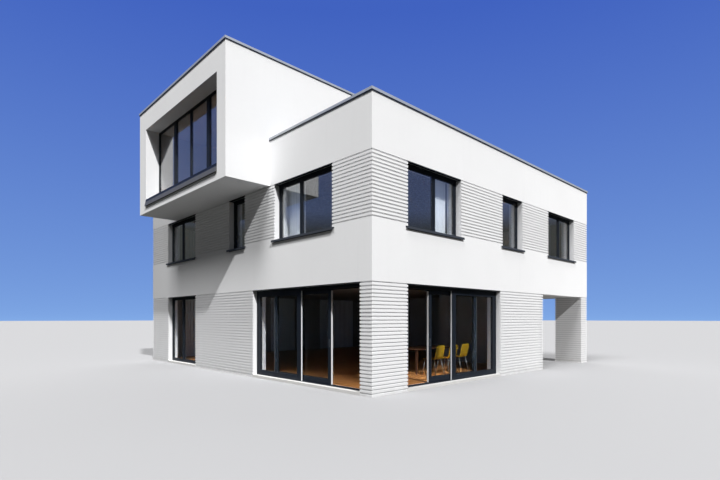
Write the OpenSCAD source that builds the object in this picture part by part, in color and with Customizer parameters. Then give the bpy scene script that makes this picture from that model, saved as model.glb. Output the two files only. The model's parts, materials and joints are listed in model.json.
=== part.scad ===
// Detached two-storey house with a flat roof and a third-level box that cantilevers over one side.
// Smooth white bands alternate with walls that carry horizontal ribs, one rib to each course.
// The front faces -Y and the left side -X. The origin is on the ground under the middle of the body.

/* [Body] */
// Length of the front, along X
body_w = 11850; // [11700:10:12600]
// Depth of the house, along Y
body_d = 12710; // [12500:10:13600]
// Thickness of the outside walls
wall_t = 380; // [320:10:380]
// Height of one course, which is one rib and one groove
course = 83.333; // [82.5:0.1:84.5]
// Courses from the ground to the heads of the ground-floor openings
head_courses = 30; // [30:1:31]
// Courses from the ground to the heads of the upper windows
upper_head_courses = 64; // [64:1:66]
// Height of the band top on which the upper windows stand
sill_z = 3750; // [3740:5:3800]
// Height of the fascia's lower edge at the main roof
roof_edge_z = 6552; // [6450:2:6800]

/* [Ribs] */
// Height of a groove between two ribs
groove_h = 33; // [20:1:45]
// Depth of a groove
groove_d = 27; // [10:1:45]
// Grooves in the walls between the upper windows
upper_grooves = 18; // [12:1:18]

/* [Floors] */
// Top of the ground floor
floor_z = 70; // [50:5:100]
// Underside of the first-floor slab
upper_floor_z = 2700; // [2650:10:2750]
// Thickness of the first-floor slab
upper_floor_t = 250; // [180:10:300]
// Underside of the roof slab
roof_slab_z = 5450; // [5400:10:5480]
// Thickness of the roof slab
roof_slab_t = 300; // [260:10:340]

/* [Windows] */
// Depth of the windows' outer reveals, to the face of the frames
reveal_d = 165; // [100:5:170]
// Depth of a window frame
frame_t = 70; // [60:2:80]
// Width of the fixed frame seen round the sashes
frame_w = 55; // [45:1:75]
// Width of a sash member
sash_w = 45; // [40:1:65]
// Setback of the sash from the face of the frame
sash_back = 8; // [4:1:16]
// Thickness of a pane
glass_t = 24; // [16:1:32]
// Thickness of the dark cover under the heads
cover_t = 20; // [12:1:30]
// Width of the slot for the blind in that cover
slot_w = 34; // [20:1:50]
// Overhang of a sill in front of the wall
sill_out = 50; // [30:1:80]
// Length of a sill past each side of its window
sill_ear_l = 85; // [40:5:120]
// Height of a sill's front edge
sill_h = 56; // [40:1:80]
// Lift of that edge above the wall's top
sill_lift = 8; // [0:1:20]
// Rise of the box's sill over its depth
sill_rise = 10; // [5:1:20]

/* [Upper windows] */
// Start of the first front window
front_a = 1180; // [1100:10:1250]
// Start of the second front window
front_b = 5450; // [5300:10:5600]
// Wall between the third front window and the right end
front_end_w = 1230; // [1100:10:1400]
// Width of the wide front windows
wide_w = 2140; // [2000:10:2250]
// Width of the narrow front window
narrow_w = 1200; // [1000:10:1400]
// Middle of the post in a wide front window, from its start
front_post = 1190; // [1000:10:1300]
// Start of the first left window
left_a = 1320; // [1250:10:1400]
// Start of the second left window
left_b = 5325; // [5200:5:5500]
// Start of the third left window
left_c = 8700; // [8500:10:8900]
// Width of the wide left windows
left_wide_w = 2430; // [2300:10:2500]
// Width of the narrow left window
left_narrow_w = 945; // [800:5:1100]
// Middle of the post in a wide left window, from its start
left_post = 1430; // [1200:10:1500]

/* [Doors] */
// Depth of the doors' outer reveals
door_reveal_d = 140; // [120:5:170]
// Right end of the front glazing
door_front_end = 5320; // [5000:10:5400]
// Far end of the left glazing
door_left_end = 4870; // [4600:10:5000]
// Height of the head member of a door frame
door_head_h = 90; // [60:2:120]
// Depth of a door frame
door_frame_t = 158; // [155:1:165]
// Thickness of a door leaf
leaf_t = 65; // [55:1:68]
// Width of a leaf's upright members
stile_w = 115; // [90:1:130]
// Width of the fixed light's upright where the leaf passes it
meeting_w = 170; // [120:5:190]
// Height of a leaf's top member
top_rail_h = 90; // [70:1:110]
// Height of a leaf's bottom member
bottom_rail_h = 125; // [100:1:150]
// Clearance between a leaf and the frame
run_gap = 6; // [5:0.5:8]
// Clearance between the rollers and their rail
roller_gap = 0.3; // [0.2:0.05:0.5]
// Height of the track plate
track_h = 10; // [8:1:14]
// Height of the running rail above the track plate
rail_h = 12; // [8:1:14]
// Width of the running rail
rail_w = 10; // [6:1:14]
// Start of the front fixed light
front_fixed = 3120; // [3050:5:3250]
// Start of the front leaf as it stands half open
front_leaf_at = 2235; // [1900:5:2600]
// Length of the front leaf
front_leaf_w = 2150; // [2100:5:2300]
// Start of the left fixed light
left_fixed = 2735; // [2650:5:2800]
// Start of the left leaf as it stands half open
left_leaf_at = 1620; // [1300:5:1900]
// Length of the left leaf
left_leaf_w = 2430; // [2380:5:2500]

/* [Covered bay] */
// Width of the covered bay's opening at the front
bay_w = 3235; // [3000:5:3400]
// Width of the pier at the bay's outer corner
bay_pier_w = 540; // [450:5:700]
// Depth of that pier
bay_pier_d = 1015; // [800:5:1200]
// Depth of the bay
bay_d = 3600; // [3200:10:4000]

/* [Box] */
// Reach of the box past the left side
box_out = 1316; // [1200:2:1500]
// Near side of the box, along Y
box_near_y = 3968; // [3900:2:4050]
// Far side of the box, along Y
box_far_y = 10267; // [10100:2:10400]
// Back of the box, along X
box_back = 8000; // [7000:50:9000]
// Thickness of the box's near wall
box_near_t = 475; // [400:5:550]
// Thickness of the box's far wall
box_far_t = 587; // [450:1:620]
// Thickness of the box's back wall
box_back_t = 380; // [300:10:450]
// Height of the white edge under the box's sill
box_base_h = 217; // [180:1:260]
// Underside of the head over the box window
box_head_z = 8190; // [8100:5:8250]
// Thickness of the box's roof slab
box_roof_t = 260; // [200:10:320]
// Height of the fascia's lower edge at the box roof
box_edge_z = 8831; // [8700:1:9000]
// Depth of the recess in front of the box window
box_recess = 440; // [380:5:520]
// Distance from the middle post to the outer posts
box_post = 1190; // [1000:10:1300]
// Width of the outer posts
box_post_w = 200; // [140:2:240]
// Width of the middle post
box_mid_w = 90; // [80:2:160]

/* [Roof edge] */
// Height of the fascia
fascia_h = 90; // [70:1:120]
// Overhang of the fascia
fascia_out = 25; // [15:1:40]
// Thickness of the cap sheet over the wall
cap_t = 22; // [12:1:30]
// Thickness of the fascia sheet
fascia_t = 5; // [3:1:8]
// Height of the holding rail seen under the fascia
holder_h = 30; // [20:1:40]
// Setback of that rail behind the fascia
holder_in = 12; // [8:1:20]

/* [Vents] */
// Diameter of a roof vent
vent_d = 110; // [80:5:160]
// Place of the near vent along X
vent_near_x = 2560; // [2300:10:2800]
// Place of the far vent along X
vent_far_x = 7000; // [6500:10:7500]
// Place of the vents along Y
vent_y = 2000; // [1800:10:2300]
// Top of the near vent
vent_near_z = 7060; // [6900:10:7200]
// Top of the far vent
vent_far_z = 6980; // [6900:10:7200]

/* [Hidden] */
$fn = 48;

white_coat = "white";
dark_metal = [0.19, 0.22, 0.26];
pale_stone = [0.82, 0.81, 0.78];
floor_board = [0.72, 0.40, 0.18];
slab_grey = [0.62, 0.62, 0.62];
zinc = [0.55, 0.60, 0.65];
pane_tint = [0.45, 0.55, 0.62, 0.45];

head_z = head_courses * course;
upper_head_z = upper_head_courses * course;
wall_top = roof_edge_z + fascia_h - cap_t;
box_wall_top = box_edge_z + fascia_h - cap_t;
roof_top = roof_slab_z + roof_slab_t;
sheet_gap = 15;
frame_lip = 5;
window_back = reveal_d + frame_t;
back_sill_z = 950;
back_grooves = 18;
inner_w = body_w - wall_t;
front_c = body_w - front_end_w - wide_w;
inner_d = body_d - wall_t;
bay_end = body_w - bay_pier_w;
bay_start = bay_end - bay_w;
bay_wall_x = bay_start - wall_t;
bay_wall_y = bay_d + wall_t;
leaf_v = door_reveal_d + door_frame_t - leaf_t - run_gap / 2 - frame_lip;
leaf_mid = leaf_v + leaf_t / 2;
leaf_z = floor_z + track_h + run_gap;
door_top = head_z - door_head_h;
leaf_top = door_top - run_gap;
rail_top = floor_z + track_h + rail_h;
guide_w = 10;
guide_h = 26;
roller_l = 160;
box_u0 = box_near_y + box_near_t;
box_u1 = box_far_y - box_far_t;

// Wide and narrow windows as [start, width, middle of the post or 0]
front_list = [[front_a, wide_w, front_post], [front_b, narrow_w, 0], [front_c, wide_w, front_post]];
left_list = [
    [left_a, left_wide_w, left_post], [left_b, left_narrow_w, 0], [left_c, left_wide_w, left_post]
];
right_list = left_list;
right_ground_list = [left_list[1], left_list[2]];

// Each side is drawn as the front is, from its own corner, with u along the wall, v into it and z up
module on_front() translate([-body_w / 2, -body_d / 2, 0]) children();
module on_left() on_front() mirror([1, -1, 0]) children();
module on_back() on_front() translate([0, body_d, 0]) mirror([0, 1, 0]) children();
module on_right() on_front() translate([body_w, 0, 0]) mirror([1, 0, 0]) mirror([1, -1, 0]) children();
module in_box_front() on_front() translate([-box_out, 0, 0]) mirror([1, -1, 0]) children();

// Upright plate between two depths, from an outline in u and z
module plate(v0, v1) translate([0, v1, 0]) rotate([90, 0, 0]) linear_extrude(v1 - v0) children();
// Bar along the wall between two places, from an outline in v and z
module bar(u0, u1) translate([u0, 0, 0]) rotate([90, 0, 90]) linear_extrude(u1 - u0) children();

// Side of a block from top to bottom, with grooves of depth g cut into it
function grooved(x, g, z1, n) = [
    for (k = [0:n - 1]) each [
        if (k > 0) [x, z1 - k * course],
        [x + g, z1 - k * course], [x + g, z1 - k * course - groove_h], [x, z1 - k * course - groove_h]
    ]
];
function flip(points) = [for (i = [len(points) - 1:-1:0]) points[i]];

// Section of a wall of width w: grooves on the low and high sides start right under its top
function ribbed_outline(x0, x1, z0, z1, n, low, high) = concat(
    low ? grooved(x0, groove_d, z1, n) : [[x0, z1]],
    [[x0, z0], [x1, z0]],
    high ? flip(grooved(x1, -groove_d, z1, n)) : [[x1, z1]]
);

// Stretch of ribbed wall from u0 to u1. Ribs turn the corner at the ends that are asked for
module ribbed_wall(u0, u1, z0, z1, n, low_end = false, high_end = false, depth = wall_t, inside = false) {
    if (low_end || high_end)
        intersection() {
            bar(u0, u1) polygon(ribbed_outline(0, depth, z0, z1, n, true, inside));
            plate(-1, depth + 1) polygon(ribbed_outline(u0, u1, z0, z1, n, low_end, high_end));
        }
    else
        bar(u0, u1) polygon(ribbed_outline(0, depth, z0, z1, n, true, inside));
}

// Walls between the windows of a list, from start to end
module walls_between(list, start, end, z0, z1, n, low_end = false, high_end = false) {
    edges = concat([start], [for (w = list) each [w[0], w[0] + w[1]]], [end]);
    last = len(edges) - 2;
    for (i = [0:2:last])
        ribbed_wall(edges[i], edges[i + 1], z0, z1, n, low_end && i == 0, high_end && i == last);
}

module box_at(a, b) translate(a) cube(b - a);

// Fixed frame with its sashes, and the dark cover with a blind slot under the head
module window_frame(u0, w, post, z0, z1) {
    u1 = u0 + w;
    lights = post > 0 ? [[u0 + frame_w, u0 + post - frame_w / 4], [u0 + post + frame_w / 4, u1 - frame_w]]
                      : [[u0 + frame_w, u1 - frame_w]];
    plate(reveal_d, window_back) difference() {
        translate([u0, z0]) square([w, z1 - z0]);
        for (s = lights)
            translate([s[0], z0 + frame_w]) square([s[1] - s[0], z1 - z0 - 2 * frame_w]);
    }
    for (s = lights)
        plate(reveal_d + sash_back, window_back + sash_back) difference() {
            translate([s[0], z0 + frame_w]) square([s[1] - s[0], z1 - z0 - 2 * frame_w]);
            translate([s[0] + sash_w, z0 + frame_w + sash_w])
                square([s[1] - s[0] - 2 * sash_w, z1 - z0 - 2 * frame_w - 2 * sash_w]);
        }
    head_cover(u0, u1, z1, reveal_d);
}

module head_cover(u0, u1, z1, depth) difference() {
    box_at([u0, 0, z1 - cover_t], [u1, depth, z1]);
    slot_v = (depth - slot_w) / 2;
    box_at([u0 - 1, slot_v, z1 - cover_t - 1], [u1 + 1, slot_v + slot_w, z1 - cover_t / 2]);
}

module window_panes(u0, w, post, z0, z1) {
    u1 = u0 + w;
    lights = post > 0 ? [[u0 + frame_w, u0 + post - frame_w / 4], [u0 + post + frame_w / 4, u1 - frame_w]]
                      : [[u0 + frame_w, u1 - frame_w]];
    rim = frame_w + sash_w;
    for (s = lights)
        box_at([s[0] + sash_w, reveal_d + frame_t / 2 - glass_t / 2, z0 + rim],
               [s[1] - sash_w, reveal_d + frame_t / 2 + glass_t / 2, z1 - rim]);
}

// Sill: a wedge in the opening and a folded front edge that runs past both sides
module sill(u0, w, z0) {
    u1 = u0 + w;
    low = z0 + sill_lift;
    front_top = low + sill_h;
    slope = 0.085;
    edge_t = 8;
    lip = [
        [0, front_top + sill_out * slope], [-sill_out, front_top], [-sill_out, low],
        [edge_t - sill_out, low], [edge_t - sill_out, front_top - edge_t], [0, front_top - edge_t]
    ];
    bar(u0, u1) polygon([
        [0, z0], [reveal_d, z0], [reveal_d, front_top + (sill_out + reveal_d) * slope],
        [0, front_top + sill_out * slope]
    ]);
    bar(u0 - sill_ear_l, u1 + sill_ear_l) polygon(lip);
}

// Flat frame between two heights, from an outer pair of corners and an inner pair
module sheet_frame(a, b, c, d, z0, z1) difference() {
    box_at([a[0], a[1], z0], [b[0], b[1], z1]);
    box_at([c[0], c[1], z0 - 1], [d[0], d[1], z1 + 1]);
}

// Cap, outer fascia with its holding rail, and inner fascia round walls of their own thicknesses
module coping_ring(a, b, low_t, high_t, edge_z) {
    top = edge_z + fascia_h;
    over = [fascia_out, fascia_out];
    sheet = [fascia_t, fascia_t];
    hook = over - [holder_in, holder_in];
    c = a + low_t + over;
    d = b - high_t - over;
    sheet_frame(a - over, b + over, c, d, top - cap_t, top);
    sheet_frame(a - over, b + over, a - over + sheet, b + over - sheet, edge_z + holder_h, top);
    sheet_frame(a - hook, b + hook, a - hook + sheet, b + hook - sheet, edge_z, top - cap_t);
    sheet_frame(c - sheet, d + sheet, c, d, edge_z, top);
}

// Fixed frame of a sliding door with its fixed light, the running rail and the head guide
module door_frame(u0, u1, fixed_u) {
    v0 = door_reveal_d;
    v1 = door_reveal_d + door_frame_t;
    box_at([u0, v0, floor_z], [u0 + frame_w, v1, head_z]);
    box_at([u1 - frame_w, v0, floor_z], [u1, v1, head_z]);
    box_at([u0, v0, door_top], [u1, v1, head_z]);
    box_at([u0, v0, floor_z], [u1, v1, floor_z + track_h]);
    box_at([u0, leaf_mid - rail_w / 2, floor_z], [u1, leaf_mid + rail_w / 2, rail_top]);
    box_at([u0, leaf_mid - guide_w / 2, door_top - guide_h], [u1, leaf_mid + guide_w / 2, head_z]);
    plate(v0 + sash_back, v0 + sash_back + fixed_t) difference() {
        translate([fixed_u, floor_z]) square([u1 - frame_w - fixed_u, door_top - floor_z]);
        translate([fixed_u + meeting_w, floor_z + track_h + bottom_rail_h])
            square([u1 - frame_w - stile_w - fixed_u - meeting_w,
                    door_top - top_rail_h - floor_z - track_h - bottom_rail_h]);
    }
    head_cover(u0, u1, head_z, door_reveal_d);
}
fixed_t = leaf_v - door_reveal_d - sash_back - sheet_gap;

module fixed_pane(u1, fixed_u)
    box_at([fixed_u + meeting_w, door_reveal_d + sash_back + fixed_t / 2 - glass_t / 2,
            floor_z + track_h + bottom_rail_h],
           [u1 - frame_w - stile_w, door_reveal_d + sash_back + fixed_t / 2 + glass_t / 2,
            door_top - top_rail_h]);

// Sliding leaf: a frame with a slot over the rail, two rollers in it, and a slot under the guide
module door_leaf(at, w) {
    slot = rail_w + 2 * run_gap;
    top_slot = guide_w + 2 * run_gap;
    roof = rail_top + 3 * run_gap;
    difference() {
        plate(leaf_v, leaf_v + leaf_t) difference() {
            translate([at, leaf_z]) square([w, leaf_top - leaf_z]);
            translate([at + stile_w, leaf_z + bottom_rail_h])
                square([w - 2 * stile_w, leaf_top - leaf_z - bottom_rail_h - top_rail_h]);
        }
        box_at([at - 1, leaf_mid - slot / 2, leaf_z - 1], [at + w + 1, leaf_mid + slot / 2, roof]);
        box_at([at - 1, leaf_mid - top_slot / 2, door_top - guide_h - run_gap],
               [at + w + 1, leaf_mid + top_slot / 2, leaf_top + 1]);
    }
    for (u = [at + stile_w, at + w - stile_w - roller_l])
        box_at([u, leaf_mid - slot / 2, rail_top + roller_gap], [u + roller_l, leaf_mid + slot / 2, roof]);
}

module leaf_pane(at, w)
    box_at([at + stile_w, leaf_mid - glass_t / 2, leaf_z + bottom_rail_h],
           [at + w - stile_w, leaf_mid + glass_t / 2, leaf_top - top_rail_h]);

module floor_slab() color(floor_board) on_front() linear_extrude(floor_z) polygon([
    [wall_t, wall_t], [bay_wall_x, wall_t], [bay_wall_x, bay_wall_y], [inner_w, bay_wall_y],
    [inner_w, inner_d], [wall_t, inner_d]
]);

module door_thresholds() color(pale_stone) on_front() {
    box_at([front_a, 0, 0], [door_front_end, wall_t, floor_z]);
    box_at([0, wall_t, 0], [wall_t, door_left_end, floor_z]);
    box_at([0, left_c, 0], [wall_t, left_c + left_wide_w, floor_z]);
}

module front_corner_pier() color(white_coat) on_front()
    ribbed_wall(0, front_a, 0, head_z, head_courses, low_end = true);
module front_ground_wall() color(white_coat) on_front()
    ribbed_wall(door_front_end, bay_start, 0, head_z, head_courses, high_end = true);

// Side and back walls of the covered bay, in one angle
module bay_walls() color(white_coat) on_front() {
    intersection() {
        translate([bay_start, 0, 0]) mirror([1, 0, 0]) mirror([1, -1, 0])
            ribbed_wall(wall_t, bay_wall_y, 0, head_z, head_courses);
        box_at([bay_wall_x, wall_t, 0], [bay_start, bay_wall_y, head_z]);
    }
    translate([0, bay_d, 0])
        ribbed_wall(bay_start - groove_d, body_w, 0, head_z, head_courses, high_end = true);
}
module bay_corner_pier() color(white_coat) on_front()
    ribbed_wall(bay_end, body_w, 0, head_z, head_courses, true, true, bay_pier_d, true);

module left_ground_walls() color(white_coat) on_left() {
    ribbed_wall(door_left_end, left_c, 0, head_z, head_courses);
    ribbed_wall(left_c + left_wide_w, body_d, 0, head_z, head_courses, high_end = true);
}
module back_ground_walls() color(white_coat) on_back() {
    walls_between(front_list, wall_t, inner_w, back_sill_z, head_z, back_grooves);
    box_at([wall_t, 0, 0], [inner_w, wall_t, back_sill_z]);
}
module right_ground_walls() color(white_coat) on_right() {
    walls_between(right_ground_list, bay_wall_y, body_d, back_sill_z, head_z, back_grooves, high_end = true);
    box_at([bay_wall_y, 0, 0], [body_d, wall_t, back_sill_z]);
}

module front_floor_band() color(white_coat) on_front()
    box_at([0, 0, head_z], [body_w, wall_t, sill_z]);
module left_floor_band() color(white_coat) on_front()
    box_at([0, wall_t, head_z], [wall_t, body_d, sill_z]);
module back_floor_band() color(white_coat) on_front()
    box_at([wall_t, inner_d, head_z], [inner_w, body_d, sill_z]);
module right_floor_band() color(white_coat) on_front()
    box_at([inner_w, wall_t, head_z], [body_w, body_d, sill_z]);

module front_upper_walls() color(white_coat) on_front()
    walls_between(front_list, 0, body_w, sill_z, upper_head_z, upper_grooves, true, true);
module left_upper_walls() color(white_coat) on_left()
    walls_between(left_list, wall_t, body_d, sill_z, upper_head_z, upper_grooves, false, true);
module back_upper_walls() color(white_coat) on_back()
    walls_between(front_list, wall_t, inner_w, sill_z, upper_head_z, upper_grooves);
module right_upper_walls() color(white_coat) on_right()
    walls_between(right_list, wall_t, body_d, sill_z, upper_head_z, upper_grooves, false, true);

module first_floor_slab() color(slab_grey) on_front() {
    box_at([wall_t, wall_t, upper_floor_z], [inner_w, inner_d, upper_floor_z + upper_floor_t]);
    box_at([bay_wall_x, wall_t, head_z], [inner_w, bay_wall_y, upper_floor_z]);
}
module roof_slab() color(slab_grey) on_front()
    box_at([wall_t, wall_t, roof_slab_z], [inner_w, inner_d, roof_top]);

module front_parapet() color(white_coat) on_front()
    box_at([0, 0, upper_head_z], [body_w, wall_t, wall_top]);
module left_parapets() color(white_coat) on_front() {
    box_at([0, wall_t, upper_head_z], [wall_t, box_near_y, wall_top]);
    box_at([0, box_far_y, upper_head_z], [wall_t, body_d, wall_top]);
}
module back_parapet() color(white_coat) on_front()
    box_at([wall_t, inner_d, upper_head_z], [inner_w, body_d, wall_top]);
module right_parapet() color(white_coat) on_front()
    box_at([inner_w, wall_t, upper_head_z], [body_w, body_d, wall_top]);

// Floor of the box: the cantilever, with a step at its front edge for the sill
module box_floor() color(white_coat) on_front()
    translate([0, box_far_y, 0]) rotate([90, 0, 0]) linear_extrude(box_far_y - box_near_y) polygon([
        [-box_out, upper_head_z], [wall_t, upper_head_z], [wall_t, roof_top], [box_step - box_out, roof_top],
        [box_step - box_out, upper_head_z + box_base_h], [-box_out, upper_head_z + box_base_h]
    ]);
box_step = 40;

module box_near_wall() color(white_coat) on_front() box_side(box_near_y, box_u0);
module box_far_wall() color(white_coat) on_front() box_side(box_u1, box_far_y);
// Side wall of the box, which closes the end of the sill's step
module box_side(y0, y1) {
    box_at([-box_out, y0, roof_top], [box_back, y1, box_wall_top]);
    box_at([-box_out, y0, upper_head_z + box_base_h], [box_step - box_out, y1, roof_top + 1]);
}
module box_back_wall() color(white_coat) on_front()
    box_at([box_back - box_back_t, box_u0, roof_top], [box_back, box_u1, box_wall_top]);
module box_roof() color(white_coat) on_front() {
    box_at([-box_out, box_u0, box_head_z], [box_back - box_back_t, box_u1, box_head_z + box_roof_t]);
    box_at([-box_out, box_u0, box_head_z], [wall_t - box_out, box_u1, box_wall_top]);
}

module copings() color(zinc) on_front() {
    difference() {
        coping_ring([0, 0], [body_w, body_d], [wall_t, wall_t], [wall_t, wall_t], roof_edge_z);
        box_at([-box_out, box_near_y, roof_edge_z - 1], [box_back, box_far_y, wall_top + cap_t + 1]);
    }
    coping_ring([-box_out, box_near_y], [box_back, box_far_y],
                [wall_t, box_near_t], [box_back_t, box_far_t], box_edge_z);
}

module front_windows() color(dark_metal) on_front()
    for (w = front_list) window_frame(w[0], w[1], w[2], sill_z, upper_head_z);
module left_windows() color(dark_metal) on_left() {
    for (w = left_list) window_frame(w[0], w[1], w[2], sill_z, upper_head_z);
    window_frame(left_c, left_wide_w, left_post, floor_z, head_z);
}
module rear_windows() color(dark_metal) {
    on_back() for (w = front_list) {
        window_frame(w[0], w[1], w[2], sill_z, upper_head_z);
        window_frame(w[0], w[1], w[2], back_sill_z, head_z);
    }
    on_right() {
        for (w = right_list) window_frame(w[0], w[1], w[2], sill_z, upper_head_z);
        for (w = right_ground_list) window_frame(w[0], w[1], w[2], back_sill_z, head_z);
    }
}

// Posts of the box window: two wide ones and a narrow one between four lights
box_mid = (box_u0 + box_u1) / 2;
box_lights = [
    [box_u0 + frame_w, box_mid - box_post - box_post_w / 2],
    [box_mid - box_post + box_post_w / 2, box_mid - box_mid_w / 2],
    [box_mid + box_mid_w / 2, box_mid + box_post - box_post_w / 2],
    [box_mid + box_post + box_post_w / 2, box_u1 - frame_w]
];
module box_window() color(dark_metal) in_box_front()
    plate(box_recess, box_recess + frame_t) difference() {
        translate([box_u0, roof_top]) square([box_u1 - box_u0, box_head_z - roof_top]);
        for (s = box_lights)
            translate([s[0], roof_top + frame_w + sash_w])
                square([s[1] - s[0], box_head_z - roof_top - 2 * frame_w - sash_w]);
    }
module box_glass() color(pane_tint) in_box_front()
    for (s = box_lights)
        box_at([s[0], box_recess + frame_t / 2 - glass_t / 2, roof_top + frame_w + sash_w],
               [s[1], box_recess + frame_t / 2 + glass_t / 2, box_head_z - frame_w]);

module front_door_frame() color(dark_metal) on_front() door_frame(front_a, door_front_end, front_fixed);
module left_door_frame() color(dark_metal) on_left() door_frame(wall_t, door_left_end, left_fixed);

module front_glass() color(pane_tint) on_front() {
    for (w = front_list) window_panes(w[0], w[1], w[2], sill_z, upper_head_z);
    fixed_pane(door_front_end, front_fixed);
}
module left_glass() color(pane_tint) on_left() {
    for (w = left_list) window_panes(w[0], w[1], w[2], sill_z, upper_head_z);
    window_panes(left_c, left_wide_w, left_post, floor_z, head_z);
    fixed_pane(door_left_end, left_fixed);
}
module rear_glass() color(pane_tint) {
    on_back() for (w = front_list) {
        window_panes(w[0], w[1], w[2], sill_z, upper_head_z);
        window_panes(w[0], w[1], w[2], back_sill_z, head_z);
    }
    on_right() {
        for (w = right_list) window_panes(w[0], w[1], w[2], sill_z, upper_head_z);
        for (w = right_ground_list) window_panes(w[0], w[1], w[2], back_sill_z, head_z);
    }
}

module front_door_leaf() color(dark_metal) on_front() door_leaf(front_leaf_at, front_leaf_w);
module front_leaf_glass() color(pane_tint) on_front() leaf_pane(front_leaf_at, front_leaf_w);
module left_door_leaf() color(dark_metal) on_left() door_leaf(left_leaf_at, left_leaf_w);
module left_leaf_glass() color(pane_tint) on_left() leaf_pane(left_leaf_at, left_leaf_w);

// Sills of every window, with the folded edge of the box's recess
module window_sills() color(dark_metal) {
    on_front() for (w = front_list) sill(w[0], w[1], sill_z);
    on_left() for (w = left_list) sill(w[0], w[1], sill_z);
    on_back() for (w = front_list) {
        sill(w[0], w[1], sill_z);
        sill(w[0], w[1], back_sill_z);
    }
    on_right() {
        for (w = right_list) sill(w[0], w[1], sill_z);
        for (w = right_ground_list) sill(w[0], w[1], back_sill_z);
    }
    in_box_front() bar(box_u0, box_u1) polygon([
        [-sill_out, upper_head_z + box_base_h], [0, roof_top + box_step],
        [box_recess, roof_top + box_step + sill_rise], [box_recess, roof_top],
        [box_step, roof_top], [box_step, upper_head_z + box_base_h]
    ]);
}

module roof_vents() color(zinc) on_front() {
    translate([vent_near_x, vent_y, roof_top]) cylinder(d = vent_d, h = vent_near_z - roof_top);
    translate([vent_far_x, vent_y, roof_top]) cylinder(d = vent_d, h = vent_far_z - roof_top);
}

floor_slab();
door_thresholds();
front_corner_pier();
front_ground_wall();
bay_walls();
bay_corner_pier();
left_ground_walls();
back_ground_walls();
right_ground_walls();
front_floor_band();
left_floor_band();
back_floor_band();
right_floor_band();
front_upper_walls();
left_upper_walls();
back_upper_walls();
right_upper_walls();
first_floor_slab();
roof_slab();
front_parapet();
left_parapets();
back_parapet();
right_parapet();
box_floor();
box_near_wall();
box_far_wall();
box_back_wall();
box_roof();
copings();
front_windows();
left_windows();
rear_windows();
box_window();
front_door_frame();
left_door_frame();
front_glass();
left_glass();
rear_glass();
box_glass();
front_door_leaf();
front_leaf_glass();
left_door_leaf();
left_leaf_glass();
window_sills();
roof_vents();
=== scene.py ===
"""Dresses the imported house: finishes, seals, handles, blinds, linings, curtains, boards and furniture."""

import json
import math
import random
from collections import namedtuple

import bmesh
import bpy
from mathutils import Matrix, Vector


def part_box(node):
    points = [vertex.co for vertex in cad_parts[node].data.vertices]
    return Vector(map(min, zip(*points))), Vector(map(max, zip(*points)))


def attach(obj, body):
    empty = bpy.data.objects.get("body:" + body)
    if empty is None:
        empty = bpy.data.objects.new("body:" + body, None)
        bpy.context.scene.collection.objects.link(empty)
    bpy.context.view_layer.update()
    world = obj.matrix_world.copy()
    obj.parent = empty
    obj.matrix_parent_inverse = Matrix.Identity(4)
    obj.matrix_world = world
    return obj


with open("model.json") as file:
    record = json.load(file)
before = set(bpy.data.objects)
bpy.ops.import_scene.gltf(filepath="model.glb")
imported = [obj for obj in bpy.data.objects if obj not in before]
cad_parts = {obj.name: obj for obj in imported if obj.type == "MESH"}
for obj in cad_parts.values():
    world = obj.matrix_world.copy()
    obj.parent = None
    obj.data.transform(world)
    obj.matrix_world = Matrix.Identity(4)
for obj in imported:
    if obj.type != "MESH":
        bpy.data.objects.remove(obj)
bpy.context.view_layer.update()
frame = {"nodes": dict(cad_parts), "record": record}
nodes = frame["nodes"]

# Camera, fitted to the photograph
CAMERA_PLACE = (-12.924, -13.329, 1.689)
CAMERA_TURN = -43.628
CAMERA_LENS = 23.18
CAMERA_SHIFT = 0.1091

# Lamps: name, the direction that the light comes from, its softness in degrees and its strength
LAMPS = (
    ("main_light", (-0.245, -0.726, 0.643), 1.5, 3.70),
    ("fill_light", (-0.465, -0.10, 0.88), 25.0, 2.75),
    ("rear_light", (0.45, 0.55, 0.70), 40.0, 0.9),
)
WORLD_COLOR, WORLD_STRENGTH = (0.90, 0.94, 1.0), 0.05
# Share of the daylight that the panes let into the rooms
DAYLIGHT_SHARE = 0.80

# Backdrop from the horizon to high above it, as seen directly and as the glass mirrors it
BACKDROP_LOW = (0.22, 0.40, 0.79)
BACKDROP_HIGH = (0.053, 0.124, 0.526)
MIRRORED_LOWEST = (0.020, 0.025, 0.020)
MIRRORED_FOOT = (0.12, 0.13, 0.125)
MIRRORED_LOW = (0.44, 0.53, 0.68)
MIRRORED_HIGH = (0.055, 0.125, 0.46)
# Where its colours meet, by how steeply the ray climbs
SKY_RISE, SKY_CURVE = 0.55, 0.6
FOOT_RISE, FOOT_END = (0.02, 0.14), (0.180, 0.225)

# Colours
COAT = (0.842, 0.843, 0.850)
STREAK_GREY, SPLASH_GREY = (0.55, 0.56, 0.56), (0.42, 0.41, 0.38)
# Painted shade in the grooves between the ribs
GROOVE_PAINTED_SHADE = (0.30, 0.30, 0.31)
# Inside the rooms: the walls' paint, darkened further as painted shade of the dim rooms
INSIDE_PAINT_AND_SHADE = (0.33, 0.31, 0.30)
PLASTER, LINING = (0.66, 0.66, 0.66), (0.66, 0.66, 0.67)
DARK_METAL = (0.012, 0.016, 0.023)
SILL_METAL = (0.050, 0.056, 0.068)
# The second colour is painted shade along the top of the box's sill
BOX_SILL_METAL, SILL_TOP_SHADE = (0.096, 0.096, 0.094), (0.006, 0.008, 0.012)
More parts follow.
